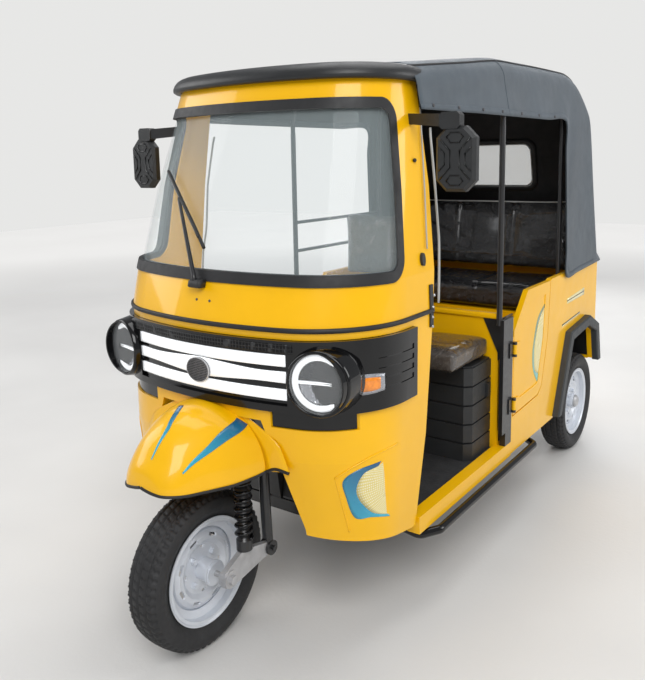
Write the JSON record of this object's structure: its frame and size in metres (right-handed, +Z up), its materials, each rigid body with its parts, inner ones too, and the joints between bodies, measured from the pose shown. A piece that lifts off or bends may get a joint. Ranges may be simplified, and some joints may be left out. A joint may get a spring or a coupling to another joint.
{
  "type": "auto rickshaw",
  "caption": "Three-wheeled passenger auto rickshaw with a raked fork, curved windscreen cab, half-doors, rear bench and canvas canopy.",
  "frame": {"origin": "on the ground under the middle of the vehicle's length and width", "axes": "+Z up, the front faces -Y, +X is the vehicle's left"},
  "size_m": [1.422, 2.7149, 1.864],
  "materials": {
    "yellow_paint": "gloss",
    "black_paint": "satin",
    "wheel_silver": "satin",
    "tyre": "matt",
    "canvas": "matt",
    "glass": "clear",
    "lens": "clear",
    "rubber": "matt",
    "black_plastic": "gloss",
    "dark_plastic": "matt",
    "white_light": "gloss",
    "amber": "gloss",
    "red_light": "gloss",
    "alloy": "cast",
    "steel": "plain",
    "seat_cover": "film covered",
    "clear_sheet": "clear",
    "mirror": "polished",
    "plate": "satin"
  },
  "bodies": {
    "body": {"chassis_frame": "black_paint", "floor_pan": "black_paint", "floor_mat": "rubber", "rear_axle": "steel", "leaf_springs": "steel", "front_cowl": "yellow_paint", "windscreen_surround": "yellow_paint", "windscreen": "glass", "windscreen_gasket": "rubber", "waist_moulding": "rubber", "visor": "dark_plastic", "dash_shelf": "dark_plastic", "lamp_band": "black_plastic", "headlamp_lenses": "lens", "led_lights": "white_light", "emblem_disc": "black_plastic", "indicators": "amber", "front_mudguard": "yellow_paint", "wiper": "black_paint", "sills": "yellow_paint", "step_bars": "black_paint", "bulkhead": "yellow_paint", "seat_box": "dark_plastic", "battery_pack": "steel", "driver_cushion": "seat_cover", "driver_backrest": "seat_cover", "backrest_stay": "black_paint", "bench_cushion": "seat_cover", "bench_backrest": "seat_cover", "bench_base": "yellow_paint", "wheel_houses": "black_paint", "tub_sides": "yellow_paint", "tub_rear": "yellow_paint", "arch_mouldings": "dark_plastic", "b_posts": "black_paint", "canopy": "canvas", "canopy_frame": "black_paint", "rear_window": "clear_sheet", "guard_bars": "black_paint", "mirrors": "dark_plastic", "mirror_glasses": "mirror", "rear_bumper": "black_paint", "tail_lamps": "red_light", "number_plate": "plate", "pillar_fittings": "black_plastic"},
    "front_wheel": {"front_tyre": "tyre", "front_rim": "wheel_silver"},
    "fork": {"steering_fork": "black_paint", "fork_links": "alloy", "front_shocks": "black_paint", "handlebar": "black_paint"},
    "rear_wheel_left": {"rear_tyre_left": "tyre", "rear_rim_left": "wheel_silver"},
    "rear_wheel_right": {"rear_tyre_right": "tyre", "rear_rim_right": "wheel_silver"},
    "left_door": {"door_left": "yellow_paint"},
    "right_door": {"door_right": "yellow_paint"}
  },
  "joints": [
    {"name": "steering", "type": "hinge", "parent": "body", "child": "fork", "pos_m": [0, -1.0275, 0.245], "axis": [0, 0.342, 0.9397], "range_deg": [-40, 40]},
    {"name": "front_wheel_spin", "type": "hinge", "parent": "fork", "child": "front_wheel", "pos_m": [0, -1.1125, 0.245], "axis": [1, 0, 0], "continuous": true},
    {"name": "rear_wheel_left_spin", "type": "hinge", "parent": "body", "child": "rear_wheel_left", "pos_m": [0.44, 1.0875, 0.245], "axis": [1, 0, 0], "continuous": true},
    {"name": "rear_wheel_right_spin", "type": "hinge", "parent": "body", "child": "rear_wheel_right", "pos_m": [-0.44, 1.0875, 0.245], "axis": [1, 0, 0], "continuous": true},
    {"name": "left_door_hinge", "type": "hinge", "parent": "body", "child": "left_door", "pos_m": [0.524, 0.1445, 0.6], "axis": [0, 0, -1], "range_deg": [0, 75]},
    {"name": "right_door_hinge", "type": "hinge", "parent": "body", "child": "right_door", "pos_m": [-0.524, 0.1445, 0.6], "axis": [0, 0, 1], "range_deg": [0, 75]}
  ]
}
